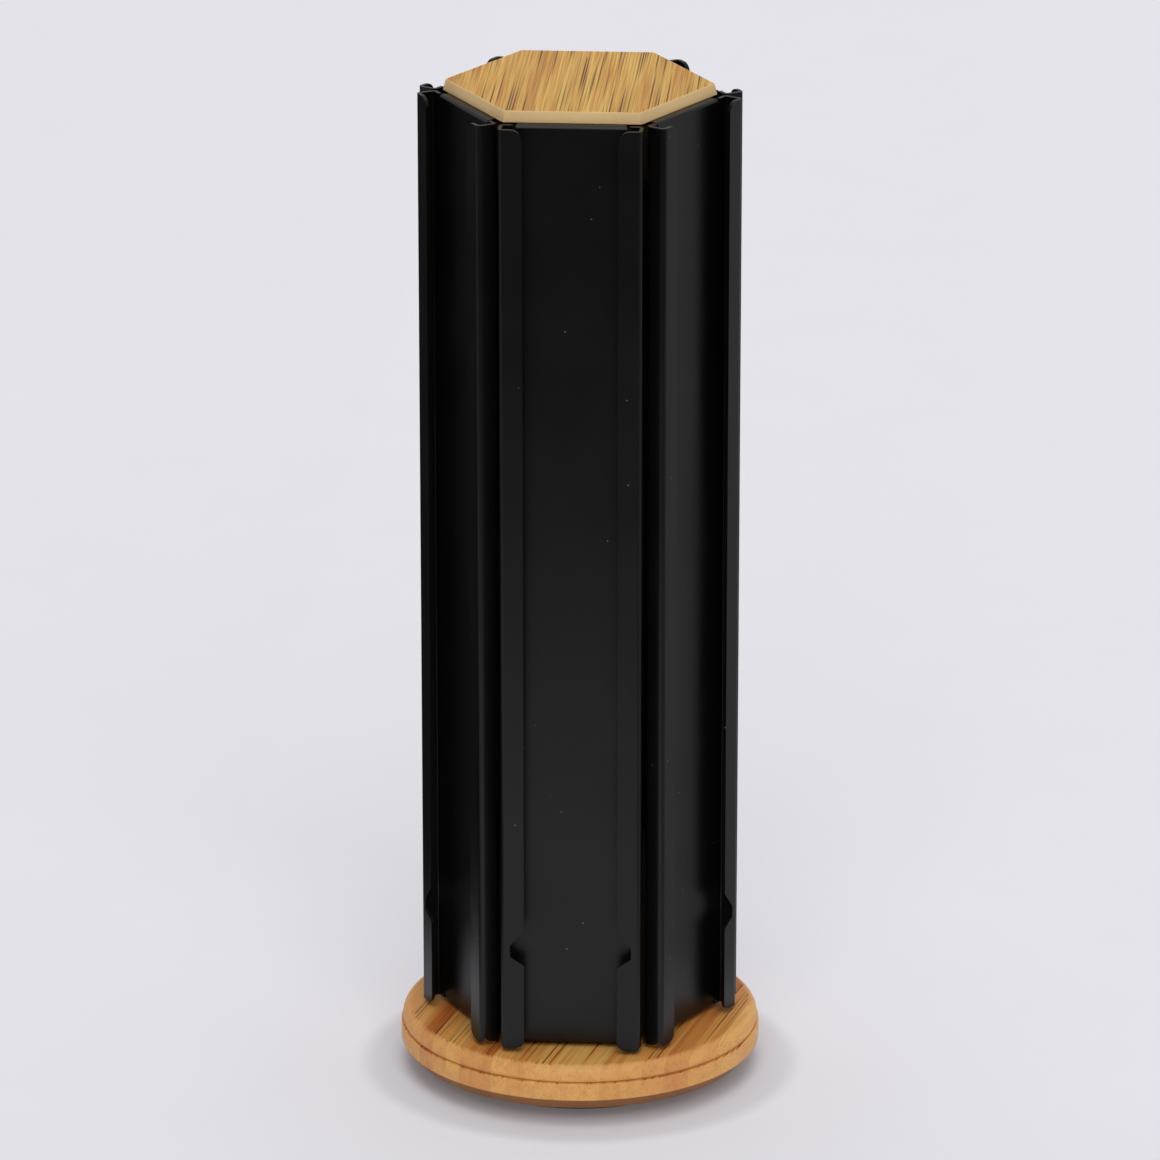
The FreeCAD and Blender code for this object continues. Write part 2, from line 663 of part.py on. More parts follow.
head_level = size("upper_plate_foot") - size("plate_screw_head_height")
new_group("plate_screws", [
    make_screw(f"plate_screw_{number}", place, False, "plate_screw_radius",
               "plate_screw_head_height + plate_gauge + plate_screw_bite",
               "plate_screw_head", "plate_screw_head_height", False)
    for number, place in enumerate(
        around(size("plate_screw_circle"), PLATE_SCREWS, head_level), start=1)])

balls = []
for number, place in enumerate(around(size("ball_circle"), BALLS, size("ball_level")), start=1):
    ball = doc.addObject("Part::Sphere", f"ball_{number}")
    bind(ball, Radius="ball_radius")
    ball.Placement = FreeCAD.Placement(place, FreeCAD.Rotation())
    balls.append(ball)
new_group("bearing_balls", balls)


# ---------------------------------------------------------------- check and write

doc.recompute()
for thing in doc.Objects:
    if "Invalid" in thing.State or "Error" in thing.State:
        raise ValueError(f"{thing.Name} did not build: {thing.State}")
for node in nodes:
    shape = node.Shape
    if shape.isNull() or not shape.isValid() or not shape.Solids:
        raise ValueError(f"{node.Label} has no valid solid")

os.makedirs("parts", exist_ok=True)
for node in nodes:
    node.Shape.exportStep(os.path.join("parts", node.Label + ".step"))
    box = node.Shape.BoundBox
    print(f"{node.Label:24s} solids {len(node.Shape.Solids):3d}  volume {node.Shape.Volume:10.1f}  "
          f"z {box.ZMin:7.2f} to {box.ZMax:7.2f}")
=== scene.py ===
# %% [markdown]
# # A revolving rack for coffee capsules
#
# Six folded steel channels stand back to back round a hidden wooden core. A thin bamboo
# board closes the top, and a turned bamboo disc on a ball-bearing turntable carries the
# whole column. Capsules drop in from the front of each channel and slide down to the
# notch near its foot.
#
# The engineering model is already finished, so the first thing is to load it. It gives
# the true position and size of every part, and everything made below is fitted to it.

import json
import math

import bmesh
import bpy
from mathutils import Matrix, Vector


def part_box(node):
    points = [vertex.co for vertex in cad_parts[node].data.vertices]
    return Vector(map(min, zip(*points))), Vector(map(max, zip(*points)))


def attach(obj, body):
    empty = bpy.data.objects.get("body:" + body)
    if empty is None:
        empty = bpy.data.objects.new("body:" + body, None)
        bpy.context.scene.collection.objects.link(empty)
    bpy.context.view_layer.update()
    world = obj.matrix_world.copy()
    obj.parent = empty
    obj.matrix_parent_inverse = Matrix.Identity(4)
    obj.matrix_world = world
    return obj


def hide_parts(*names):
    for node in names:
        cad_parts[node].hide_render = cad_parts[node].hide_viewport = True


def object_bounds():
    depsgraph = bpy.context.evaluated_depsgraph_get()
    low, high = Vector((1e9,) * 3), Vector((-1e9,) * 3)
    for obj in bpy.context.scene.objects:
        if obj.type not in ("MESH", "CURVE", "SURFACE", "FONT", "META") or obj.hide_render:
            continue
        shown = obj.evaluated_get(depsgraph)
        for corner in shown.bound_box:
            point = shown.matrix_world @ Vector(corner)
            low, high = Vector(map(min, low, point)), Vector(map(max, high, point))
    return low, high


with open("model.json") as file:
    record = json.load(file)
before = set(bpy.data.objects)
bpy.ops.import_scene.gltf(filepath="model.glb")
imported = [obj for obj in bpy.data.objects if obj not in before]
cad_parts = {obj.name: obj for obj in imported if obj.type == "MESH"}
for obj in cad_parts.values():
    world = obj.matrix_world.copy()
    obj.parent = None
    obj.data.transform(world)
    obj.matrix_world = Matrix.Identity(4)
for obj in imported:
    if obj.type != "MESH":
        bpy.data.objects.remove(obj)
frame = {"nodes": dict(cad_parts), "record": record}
cad_low, cad_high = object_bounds()
MM = 0.001
print("size in mm:", [round((b - a) / MM, 1) for a, b in zip(cad_low, cad_high)])

# %% [markdown]
# ## Where the camera stands
#
# The rack is seen from a little above, almost square to one channel. A long lens from
# two and a half metres away keeps its uprights nearly parallel, as in a catalogue. The
# camera is aimed from the middle of the object, so it keeps its framing if the object's
# size is changed.

# %% Camera
FROM_FRONT = math.radians(3.8)       # how far the camera stands to the right of square-on
FROM_LEVEL = math.radians(18.861)    # how far it looks down
STAND_OFF = 2.5                      # metres from the aim point

aim = (cad_low + cad_high) / 2
back = Vector((math.sin(FROM_FRONT) * math.cos(FROM_LEVEL),
               -math.cos(FROM_FRONT) * math.cos(FROM_LEVEL), math.sin(FROM_LEVEL)))
lens = bpy.data.cameras.new("camera")
lens.lens = 230.8
lens.sensor_width = 36
lens.clip_start, lens.clip_end = 0.1, 50
camera = bpy.data.objects.new("camera", lens)
bpy.context.scene.collection.objects.link(camera)
camera.location = aim + back * STAND_OFF
camera.rotation_mode = "QUATERNION"
camera.rotation_quaternion = (-back).to_track_quat("-Z", "Y")
bpy.context.scene.camera = camera
bpy.context.scene.view_settings.view_transform = "Standard"
print("camera at", [round(x, 3) for x in camera.location])

# %% [markdown]
# ## Two small helpers for materials
#
# Colours are written as the sRGB hex values a designer would pick, and Blender's shaders
# want them linear, so one function converts them. A second function adds one shader node
# with its settings and its inputs. An input is either a plain value or a pair
# (node, output), which becomes a link.

# %% Colour and node helpers
def linear(hex_colour):
    """The linear RGBA of an sRGB hex colour."""
    parts = [int(hex_colour[i:i + 2], 16) / 255 for i in (1, 3, 5)]
    return (*(p / 12.92 if p <= 0.04045 else ((p + 0.055) / 1.055) ** 2.4 for p in parts), 1.0)


def add_node(tree, kind, inputs=None, **settings):
    """Adds a shader node; inputs maps a socket to a value or to (node, output)."""
    node = tree.nodes.new("ShaderNode" + kind)
    for name, value in settings.items():
        setattr(node, name, value)
    for socket, source in (inputs or {}).items():
        if isinstance(source, tuple) and isinstance(source[0], bpy.types.Node):
            tree.links.new(source[0].outputs[source[1]], node.inputs[socket])
        else:
            node.inputs[socket].default_value = source
    return node


# A colour Mix node keeps its sockets after those of the other data types it can mix.
FACTOR, COLOUR_A, COLOUR_B, MIXED = 0, 6, 7, 2


def new_material(name, **surface):
    """A material with only a Principled shader, its constant values set on its sockets."""
    material = bpy.data.materials.new(name)
    material.use_nodes = True
    tree = material.node_tree
    shader = tree.nodes["Principled BSDF"]
    for socket, value in surface.items():
        shader.inputs[socket.replace("_", " ")].default_value = value
    return material, tree, shader


# %% [markdown]
# ## The studio
#
# A plain pale floor reaches past the edges of the view. Light comes from a broad soft
# source overhead, a second from the front, a weak one from the right, and an even glow
# all round. Sun lamps are used because their light is equally strong everywhere: the
# floor then has one tone from front to back, and a wide sun angle makes soft shadows.
# The table is a sheet of matt acrylic that glows faintly, which is painted light. Its glow
# fades out round the base as a painted shadow of the object.

# %% Floor
floor_mesh = bpy.data.meshes.new("floor")
reach = 20.0
floor_mesh.from_pydata([(-reach, -reach, 0), (reach, -reach, 0), (reach, reach, 0), (-reach, reach, 0)],
                       [], [(0, 1, 2, 3)])
floor = bpy.data.objects.new("floor", floor_mesh)
bpy.context.scene.collection.objects.link(floor)

# painted light: the floor glows faintly in its own pale tone
floor_paint, tree, shader = new_material("acrylic_matt_table_painted_glow_and_shadow", Roughness=0.9,
                                         Specular_IOR_Level=0.2, Emission_Color=linear("#E3E2E7"))
place = add_node(tree, "TexCoord")
from_axis = add_node(tree, "VectorMath", {0: (place, "Object")}, operation="LENGTH")
base_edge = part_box("base_disc")[1].x
# painted shadow: the glow fades out between 8 and 17 mm beyond the base's rim
painted_shadow_fade = add_node(tree, "MapRange", {"Value": (from_axis, "Value"), "From Min": base_edge + 8 * MM,
                                  "From Max": base_edge + 17 * MM, "To Min": 0.11, "To Max": 0.27},
               interpolation_type="SMOOTHSTEP")
tree.links.new(painted_shadow_fade.outputs[0], shader.inputs["Emission Strength"])
grain = add_node(tree, "TexNoise", {"Scale": 900.0, "Detail": 2.0})
tone = add_node(tree, "Mix", {FACTOR: (grain, 0), COLOUR_A: linear("#E6E5EB"),
                              COLOUR_B: linear("#E9E8EE")}, data_type="RGBA")
tree.links.new(tone.outputs[MIXED], shader.inputs["Base Color"])
floor_mesh.materials.append(floor_paint)


# %% Lights
def add_sun(name, azimuth, elevation, strength, spread):
    """A sun whose light comes from azimuth (0 is the front, 90 the right) and elevation, in degrees."""
    light = bpy.data.lights.new(name, "SUN")
    light.energy = strength
    light.angle = math.radians(spread)
    lamp = bpy.data.objects.new(name, light)
    bpy.context.scene.collection.objects.link(lamp)
    a, e = math.radians(azimuth), math.radians(elevation)
    towards = Vector((math.sin(a) * math.cos(e), -math.cos(a) * math.cos(e), math.sin(e)))
    lamp.rotation_mode = "QUATERNION"
    lamp.rotation_quaternion = towards.to_track_quat("Z", "Y")
    return lamp


add_sun("overhead_soft_box", 0, 88, 0.86, 46)
add_sun("front_soft_box", 8, 45, 0.96, 45)
add_sun("right_fill", 80, 35, 0.08, 50)

# %% The glow of the room, brightest behind the object where a white wall stands
world = bpy.data.worlds.new("studio_glow")
world.use_nodes = True
tree = world.node_tree
towards = add_node(tree, "TexCoord")
axes = add_node(tree, "SeparateXYZ", {0: (towards, "Generated")})
wall = add_node(tree, "MapRange", {"Value": (axes, 1), "From Min": 0.0, "From Max": 0.6,
                                   "To Min": 0.08, "To Max": 0.55}, interpolation_type="SMOOTHSTEP")
tree.nodes["Background"].inputs["Color"].default_value = linear("#F7F6FA")
tree.links.new(wall.outputs[0], tree.nodes["Background"].inputs["Strength"])
bpy.context.scene.world = world

# %% [markdown]
# ## Cards for the reflections
#
# Satin black paint is mostly seen by what it mirrors. A studio lays dark cards outside
# the view, so that a surface falls off to black instead of mirroring the pale table.
# Two cards here are black, and a grey one on the right leaves that side a little
# lighter. They are seen only by glossy rays: they throw no shadow and no camera sees
# them, from any side.

# %% Cards
def add_card(name, corners, material):
    """A card just above the table that only reflections see; corners in metres."""
    mesh = bpy.data.meshes.new(name)
    (x0, y0), (x1, y1) = corners
    mesh.from_pydata([(x0, y0, 0.0005), (x1, y0, 0.0005), (x1, y1, 0.0005), (x0, y1, 0.0005)],
                     [], [(0, 1, 2, 3)])
    mesh.materials.append(material)
    card = bpy.data.objects.new(name, mesh)
    bpy.context.scene.collection.objects.link(card)
    card.visible_camera = card.visible_diffuse = card.visible_shadow = card.visible_transmission = False


def card_stock(name, dark, light):
    """Matt paper card with the faint clouding of its pulp."""
    material, tree, shader = new_material(name, Roughness=0.9)
    pulp = add_node(tree, "TexNoise", {"Scale": 40.0, "Detail": 3.0})
    tone = add_node(tree, "Mix", {FACTOR: (pulp, 0), COLOUR_A: linear(dark), COLOUR_B: linear(light)},
                    data_type="RGBA")
    tree.links.new(tone.outputs[MIXED], shader.inputs["Base Color"])
    return material


card_black = card_stock("card_matt_black", "#080808", "#0C0C0C")
card_grey = card_stock("card_matt_grey", "#BABABA", "#C2C2C2")
add_card("dark_card_left", ((-3.0, -0.2), (-0.14, 3.0)), card_black)
add_card("dark_card_front", ((-3.0, -5.0), (3.0, -0.55)), card_black)
add_card("grey_card_right", ((0.12, -0.5), (3.0, 3.0)), card_grey)

# %% [markdown]
# ## Outlines
#
# Most shapes here start as a flat outline whose corners are eased. One function turns a
# list of corners, each with its own radius, into points, with an arc at every rounded
# corner. A radius of zero leaves a corner sharp.

# %% Outline helpers
def arc(centre, radius, start, end, steps):
    """Points along an arc; angles in degrees."""
    angles = [math.radians(start + (end - start) * i / steps) for i in range(steps + 1)]
    return [(centre[0] + radius * math.cos(a), centre[1] + radius * math.sin(a)) for a in angles]


def ease_corners(corners, closed=True, steps=5):
    """Points of an outline from corners (x, y, radius)."""
    points = []
    for i, (x, y, radius) in enumerate(corners):
        ends = not closed and i in (0, len(corners) - 1)
        if radius == 0 or ends:
            points.append((x, y))
            continue
        here = Vector((x, y))
        before = (Vector(corners[i - 1][:2]) - here).normalized()
        after = (Vector(corners[(i + 1) % len(corners)][:2]) - here).normalized()
        half = math.acos(max(-1, min(1, before.dot(after)))) / 2
        middle = here + (before + after).normalized() * (radius / math.sin(half))
        first = here + before * (radius / math.tan(half)) - middle
        last = here + after * (radius / math.tan(half)) - middle
        turn = first.angle_signed(last)
        for step in range(steps + 1):
            point = middle + Matrix.Rotation(-turn * step / steps, 2) @ first
            points.append((point.x, point.y))
    return points


def mirrored(points):
    """The same points on the other side of the middle line, in reverse order."""
    return [(-x, y) for x, y in reversed(points)]


def add_piece(name, mesh, material, body, slot, *nodes):
    """Puts a mesh in the scene as a piece that stands for CAD nodes and rides on a body."""
    piece = bpy.data.objects.new(name, mesh)
    bpy.context.scene.collection.objects.link(piece)
    mesh.materials.append(material)
    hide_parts(*nodes)
    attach(piece, body)
    return piece


# %% [markdown]
# ## The folded steel channels
#
# A real channel starts as a flat blank, cut from 1.2 mm sheet with its notches, tabs and
# relief slots. A press brake folds it: first the lips, then the flanges, last the two
# tabs. The same order works in Blender. The blank is drawn flat along the middle of the
# sheet, cut across wherever it will bend, and every point is then moved to where the fold
# takes it. A Solidify modifier gives the sheet its gauge and a Bevel modifier the tiny
# rounding that powder coating leaves on every cut edge.

# %% Sizes of a channel, in millimetres
low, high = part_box("channel_1")
WIDTH = (high.x - low.x) / MM
HEIGHT = (high.z - low.z) / MM
LIP_FACE = -low.y / MM               # the axis to the front of the lips
TAB_END = -high.y / MM               # the axis to the free end of the tabs
FLANGE_DEPTH = 6.1                   # front of the back panel to the front of the lips
GAUGE = 1.2
BEND = 0.5 + GAUGE / 2               # radius of the bends along the middle of the sheet
TAB_BEND = 0.05 + GAUGE / 2
LIP = 7.9
# PANEL is from the axis to the middle of the back panel. Known fault: it is one gauge too
# long, because half a gauge is added where it should be taken away, so the drawn channels
# stand 1.2 mm further out than those of the engineering model.
PANEL = LIP_FACE - FLANGE_DEPTH + GAUGE / 2
TAB_AT_FOLD, TAB_AT_END = 18.0, 14.5           # half widths of a tab
SLOT_WIDE, SLOT_DEEP = 1.0, 1.8                # the relief slots beside a tab
LIP_ROUND_TOP, LIP_ROUND_FOOT, BEND_ROUND_FOOT = 3.9, 3.2, 1.9
NOTCH_LEVELS = (29.9, 33.0, 37.0, 42.6)        # the notch's corners above the channel's foot
NOTCH_DEPTH, NOTCH_ROUND = 4.7, 0.5
SCREW_OUT, SCREW_IN, SCREW_HOLE = 9.0, 8.0, 2.65

bend_x = WIDTH / 2 - BEND - GAUGE / 2          # where the bends start, either side of the middle
bend_long = math.pi / 2 * BEND
flange_long = FLANGE_DEPTH - 2 * BEND
lip_from = bend_x + 2 * bend_long + flange_long
lip_edge = lip_from + bend_x - (WIDTH / 2 - LIP)
tab_fold = GAUGE / 2 + TAB_BEND                # channel end to where the tab starts to fold
tab_flat = tab_fold - math.pi / 2 * TAB_BEND   # and to where it is flat again, along the sheet
tab_long = PANEL - TAB_BEND - TAB_END
screw_line = tab_flat - (PANEL - TAB_BEND - (LIP_FACE - FLANGE_DEPTH - SCREW_IN))
print(f"blank {2 * lip_edge:.1f} wide, {HEIGHT + 2 * (tab_long - tab_flat):.1f} long")


# %% The flat blank of a channel
def half_hole(centre, towards):
    """The half of a screw hole on one side of the screw line, from left to right."""
    level = screw_line
    rim = arc((centre, level), SCREW_HOLE, 180, 0, 8)
    return [(x, level + towards * abs(y - level)) for x, y in rim]


def screw_line_points(towards):
    """The line through a tab's two screws, round the upper or lower half of their holes."""
    side = TAB_AT_FOLD - (TAB_AT_FOLD - TAB_AT_END) * (tab_flat - screw_line) / tab_long
    return [(-side, screw_line), *half_hole(-SCREW_OUT, towards), *half_hole(SCREW_OUT, towards),
            (side, screw_line)]


def foot_corner():
    """The foot of the flange, cut away round the bend of the lip."""
    side_colour_with_painted_light = BEND_ROUND_FOOT
    rise = [(lip_from - bend_long * a / 90, side_colour_with_painted_light * (1 - math.cos(math.radians(a))))
            for a in range(0, 91, 15)]
    ease = [(lip_from - bend_long - side_colour_with_painted_light * (1 - math.cos(math.radians(a))) * 1.2,
             side_colour_with_painted_light * (1 - math.sin(math.radians(a)))) for a in range(15, 91, 15)]
    return list(reversed(ease)) + list(reversed(rise))


notch_edges = (lip_edge, lip_edge - NOTCH_DEPTH, lip_edge - NOTCH_DEPTH, lip_edge)
notch = [(x, y, NOTCH_ROUND) for x, y in zip(notch_edges, NOTCH_LEVELS)]
lip_outline = ease_corners([(lip_from, 0, 0), (lip_edge, 0, LIP_ROUND_FOOT), *notch,
                            (lip_edge, HEIGHT, LIP_ROUND_TOP), (lip_from, HEIGHT, 0)],
                           closed=False, steps=6)
tab_side = [(TAB_AT_FOLD, tab_flat), (TAB_AT_FOLD, SLOT_DEEP), (TAB_AT_FOLD + SLOT_WIDE, SLOT_DEEP),
            (TAB_AT_FOLD + SLOT_WIDE, 0)]
upside_down = [(x, HEIGHT - y) for x, y in reversed(tab_side)]
right_side = tab_side + foot_corner() + lip_outline[1:] + upside_down

foot_line, foot_line_end = screw_line_points(1), screw_line_points(-1)
head_line = [(x, HEIGHT - y) for x, y in reversed(foot_line)]
main_outline = foot_line + right_side + head_line + mirrored(right_side)
end_outline = foot_line_end + [(TAB_AT_END, tab_flat - tab_long), (-TAB_AT_END, tab_flat - tab_long)]
head_outline = [(x, HEIGHT - y) for x, y in reversed(end_outline)]
print("points in the blank:", len(main_outline))


# %% Cut the blank across its bends
def blank_mesh():
    """The flat blank as a bmesh, x across the sheet and y along it, cut across at every bend."""
    bm = bmesh.new()
    for outline in (main_outline, end_outline, head_outline):
        bm.faces.new([bm.verts.new((x, y, 0)) for x, y in outline])
    bmesh.ops.remove_doubles(bm, verts=bm.verts, dist=0.001)
    bmesh.ops.recalc_face_normals(bm, faces=bm.faces)
    bends = [(bend_x, bend_long), (lip_from - bend_long, bend_long)]
    across = [s + long * i / 6 for s, long in bends for i in range(7)]
    for at in across + [-s for s in across]:
        bmesh.ops.bisect_plane(bm, geom=bm.verts[:] + bm.edges[:] + bm.faces[:], dist=0.0005,
                               plane_co=(at, 0, 0), plane_no=(1, 0, 0))
    along = [tab_flat + (tab_fold - tab_flat) * i / 4 for i in range(5)]
    for at in along + [HEIGHT - y for y in along]:
        bmesh.ops.bisect_plane(bm, geom=bm.verts[:] + bm.edges[:] + bm.faces[:], dist=0.0005,
                               plane_co=(0, at, 0), plane_no=(0, 1, 0))
    return bm


# %% Fold the blank
def fold_across(s):
    """Where the fold takes a point at distance s from the sheet's middle: (x, y)."""
    side, s = math.copysign(1, s), abs(s)
    if s <= bend_x:
        return side * s, -PANEL
    if s <= bend_x + bend_long:
        turn = (s - bend_x) / BEND
        return side * (bend_x + BEND * math.sin(turn)), -PANEL - BEND * (1 - math.cos(turn))
    if s <= lip_from - bend_long:
        return side * (bend_x + BEND), -PANEL - BEND - (s - bend_x - bend_long)
    if s <= lip_from:
        turn = (s - lip_from + bend_long) / BEND
        return (side * (bend_x + BEND * math.cos(turn)),
                -PANEL - BEND - flange_long - BEND * math.sin(turn))
    return side * (bend_x - (s - lip_from)), -PANEL - FLANGE_DEPTH


def fold_tab(y, z):
    """Folds a tab over towards the axis; z is measured from the channel's end."""
    if z >= tab_fold:
        return y, z
    if z >= tab_flat:
        turn = (tab_fold - z) / TAB_BEND
        return y + TAB_BEND * (1 - math.cos(turn)), tab_fold - TAB_BEND * math.sin(turn)
    return y + TAB_BEND + (tab_flat - z), GAUGE / 2


def channel_mesh(name, turn):
    """A folded channel, turned about the column's axis by turn degrees."""
    bm = blank_mesh()
    for vert in bm.verts:
        s, z = vert.co.x, vert.co.y
        x, y = fold_across(s)
        if abs(s) < TAB_AT_FOLD + SLOT_WIDE / 2:
            if z < HEIGHT / 2:
                y, z = fold_tab(y, z)
            else:
                y, z = fold_tab(y, HEIGHT - z)
                z = HEIGHT - z
        vert.co = Vector((x, y, z)) * MM + Vector((0, 0, low.z))
    bmesh.ops.rotate(bm, verts=bm.verts, matrix=Matrix.Rotation(math.radians(turn), 3, "Z"))
    for face in bm.faces:
        face.smooth = True
    mesh = bpy.data.meshes.new(name)
    bm.to_mesh(mesh)
    bm.free()
    return mesh


# %% [markdown]
# ## Powder-coated steel
#
# Powder is sprayed on dry and melted in an oven. It leaves a thick, satin, near-black
# film with a very fine "orange peel": soft dimples about a millimetre apart. The eye sees
# it as a slightly broken sheen, with no mirror reflections. Specks of dust show as tiny
# pale points.

# %% Powder coat
powder_coat, tree, shader = new_material("steel_satin_black_powder_coat", IOR=1.42)
place = add_node(tree, "TexCoord")
peel = add_node(tree, "TexNoise", {"Vector": (place, "Object"), "Scale": 1 / (1.1 * MM), "Detail": 2.0})
cloud = add_node(tree, "TexNoise", {"Vector": (place, "Object"), "Scale": 1 / (35 * MM), "Detail": 3.0})
sheen = add_node(tree, "MapRange", {"Value": (cloud, 0), "From Min": 0.3, "From Max": 0.7,
                                    "To Min": 0.30, "To Max": 0.38})
speck = add_node(tree, "TexVoronoi", {"Vector": (place, "Object"), "Scale": 1 / (9 * MM)})
dust = add_node(tree, "MapRange", {"Value": (speck, "Distance"), "From Min": 0.035, "From Max": 0.02})
film = add_node(tree, "Mix", {FACTOR: (cloud, 0), COLOUR_A: linear("#050505"),
                              COLOUR_B: linear("#0A0A0A")}, data_type="RGBA")
dusty = add_node(tree, "Mix", {FACTOR: (dust, 0), COLOUR_A: (film, MIXED),
                               COLOUR_B: linear("#6E6E6E")}, data_type="RGBA")
bump = add_node(tree, "Bump", {"Height": (peel, 0), "Strength": 0.25, "Distance": 0.05 * MM})
tree.links.new(dusty.outputs[MIXED], shader.inputs["Base Color"])
tree.links.new(sheen.outputs[0], shader.inputs["Roughness"])
tree.links.new(bump.outputs[0], shader.inputs["Normal"])

# %% Six channels round the column
for number in range(6):
    mesh = channel_mesh(f"channel_sheet_{number + 1}", 60 * number)
    piece = add_piece(f"channel_sheet_{number + 1}", mesh, powder_coat, "carousel", "black_powder_coat",
                      f"channel_{number + 1}")
    gauge = piece.modifiers.new("gauge", "SOLIDIFY")
    gauge.thickness, gauge.offset, gauge.use_even_offset = GAUGE * MM, 0, True
    edges = piece.modifiers.new("coated_edges", "BEVEL")
    edges.width, edges.segments, edges.limit_method = 0.25 * MM, 3, "ANGLE"
    edges.angle_limit, edges.harden_normals = math.radians(50), True
    piece.modifiers.new("even_shading", "WEIGHTED_NORMAL").keep_sharp = True
print("channels: 6, faces in a flat blank:", len(mesh.polygons))

# %% [markdown]
# ## Laminated bamboo
#
# Bamboo board is glued up from narrow strips split from the stem. Each strip has its own
# tone. Inside it, dark fibre bundles run the whole length of the strip: where the face
# follows them they show as long thin dashes, and where the board is cut across they show
# as dots. A solid pattern gives both at once, because every surface is cut from the same
# block: stretched cells for the bundles, finer stretched noise for the soft tissue
# between them. Turned and sawn edges cut the bundles short, so they look calmer. They
# are painted paler too, partly for their end grain and partly as painted light, and a
# surface that faces down is darkened as painted shade. The bundles are drawn about 0.8 mm
# apart, a little coarser than real ones, so that they still show. The same pattern in
# near-black browns paints the hidden blocks dark, as painted shade in the gaps between the
# channels.

# %% Bamboo
def bamboo(name, fibre_turn, strip, browning, sparse, edge_tint, palette):
    """Oiled laminated bamboo: fibre_turn is the fibres' direction from +X, strip a strip's width
    in mm, browning how much the strips differ, sparse how rare the dark bundles are, edge_tint how
    much paler the sides are painted, partly for their end grain and partly as painted light, and
    palette its pale, middle, brown and fibre colours and the paler colour of its sides."""
    pale, middle, brown, fibre, side_colour_with_painted_light = palette
    material, tree, shader = new_material(name, IOR=1.36)
    place = add_node(tree, "TexCoord")
    turned = add_node(tree, "Mapping", {"Vector": (place, "Object"), "Scale": (1 / MM,) * 3,
                                        "Rotation": (0, 0, -math.radians(fibre_turn))})
    axes = add_node(tree, "SeparateXYZ", {0: (turned, 0)})

    # strips, each with a number of its own that picks its tone and shifts its pattern
    count = add_node(tree, "Math", {0: (axes, 1), 1: strip}, operation="DIVIDE")
    number = add_node(tree, "Math", {0: (count, 0)}, operation="FLOOR")
    within = add_node(tree, "Math", {0: (count, 0)}, operation="FRACT")
    chance = add_node(tree, "TexWhiteNoise", {"W": (number, 0)}, noise_dimensions="1D")
    shift = add_node(tree, "VectorMath", {0: (chance, "Color"), 1: (300, 0, 90)}, operation="MULTIPLY")
    solid = add_node(tree, "VectorMath", {0: (turned, 0), 1: (shift, 0)}, operation="ADD")

    # how far a face turns away from straight up
    upright = add_node(tree, "SeparateXYZ", {0: (place, "Normal")})
    # sides that turn away from straight up are painted paler, partly for end grain and partly as
    # painted light
    level = add_node(tree, "MapRange", {"Value": (upright, 2), "From Min": 0.98, "From Max": 0.85,
                                        "To Max": edge_tint})
    quiet = add_node(tree, "Math", {0: 1.0, 1: (level, 0)}, operation="SUBTRACT")

    # fibre bundles about 0.8 mm apart and 80 mm long, gathered in some places and rare in others
    stretched = add_node(tree, "VectorMath", {0: (solid, 0), 1: (1 / 80, 1 / 0.8, 1 / 0.8)},
                         operation="MULTIPLY")
    cells = add_node(tree, "TexVoronoi", {"Vector": (stretched, 0), "Scale": 1.0})
    core = add_node(tree, "MapRange", {"Value": (cells, "Distance"), "From Min": 0.44,
                                       "From Max": 0.18})
    some = add_node(tree, "SeparateColor", {0: (cells, "Color")})
    gathered_at = add_node(tree, "VectorMath", {0: (solid, 0), 1: (1 / 90, 1 / 3.2, 1 / 3.2)},
                           operation="MULTIPLY")
    gathered = add_node(tree, "TexNoise", {"Vector": (gathered_at, 0), "Scale": 1.0, "Detail": 2.0})
    rare = add_node(tree, "MapRange", {"Value": (gathered, 0), "From Min": 0.35, "From Max": 0.65,
                                       "To Min": sparse, "To Max": 0.0})
    strong = add_node(tree, "Math", {0: (some, 0), 1: (rare, 0)}, operation="SUBTRACT")
    shown = add_node(tree, "MapRange", {"Value": (strong, 0), "From Min": 0.0, "From Max": 0.35})
    faint = add_node(tree, "Math", {0: (core, 0), 1: (quiet, 0)}, operation="MULTIPLY")
    bundle = add_node(tree, "Math", {0: (faint, 0), 1: (shown, 0)}, operation="MULTIPLY")

    # the soft tissue between them, in lines 0.4 mm fine and 50 mm long
    fine_at = add_node(tree, "VectorMath", {0: (solid, 0), 1: (1 / 50, 1 / 0.6, 1 / 0.6)},
                       operation="MULTIPLY")
    fine = add_node(tree, "TexNoise", {"Vector": (fine_at, 0), "Scale": 1.0, "Detail": 2.0,
                                       "Roughness": 0.6})
    tissue = add_node(tree, "MapRange", {"Value": (fine, 0), "From Min": 0.34, "From Max": 0.60})

    # colours, from the pale tissue to the dark bundles
    ground = add_node(tree, "Mix", {FACTOR: (tissue, 0), COLOUR_A: linear(middle),
                                    COLOUR_B: linear(pale)}, data_type="RGBA")
    heart = add_node(tree, "MapRange", {"Value": (gathered, 0), "From Min": 0.42, "From Max": 0.66})
    strip_heart = add_node(tree, "MapRange", {"Value": (chance, "Value"), "From Min": 0.25,
                                              "To Max": browning})
    brownness = add_node(tree, "Math", {0: (heart, 0), 1: 0.35, 2: (strip_heart, 0)},
                         operation="MULTIPLY_ADD", use_clamp=True)
    warmed = add_node(tree, "Mix", {FACTOR: (brownness, 0), COLOUR_A: (ground, MIXED),
                                    COLOUR_B: linear(brown)}, data_type="RGBA")
    streaked = add_node(tree, "Mix", {FACTOR: (bundle, 0), COLOUR_A: (warmed, MIXED),
                                      COLOUR_B: linear(fibre)}, data_type="RGBA")
